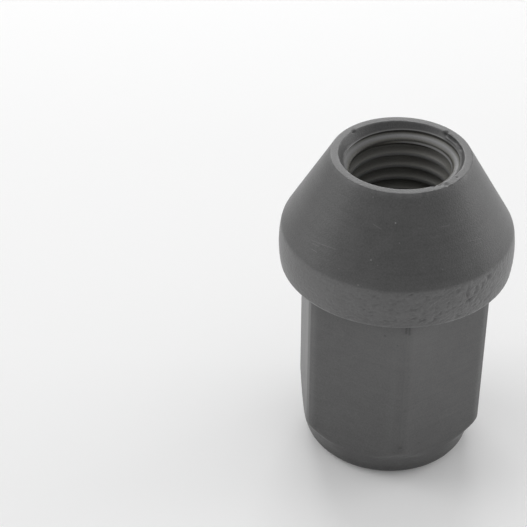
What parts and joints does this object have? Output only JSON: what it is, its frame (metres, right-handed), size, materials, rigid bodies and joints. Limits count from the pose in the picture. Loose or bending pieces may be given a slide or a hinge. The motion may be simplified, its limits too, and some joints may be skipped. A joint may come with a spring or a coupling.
{
  "type": "lug nut",
  "caption": "Closed-end lug nut of matt dark grey steel, with a wrench hex, a wide round collar, a conical seat and a blind threaded bore.",
  "frame": {"origin": "centre of the flat closed end, on the nut's axis", "axes": "+Z along the axis from the closed end to the mouth; two corners of the hex on the Y axis, two flats square to X"},
  "size_m": [0.0246, 0.0246, 0.0362],
  "materials": {
    "phosphated_steel": "matt dark grey phosphate coat over forged and turned steel"
  },
  "bodies": {
    "root": {"lug_nut": "phosphated_steel"}
  },
  "joints": []
}
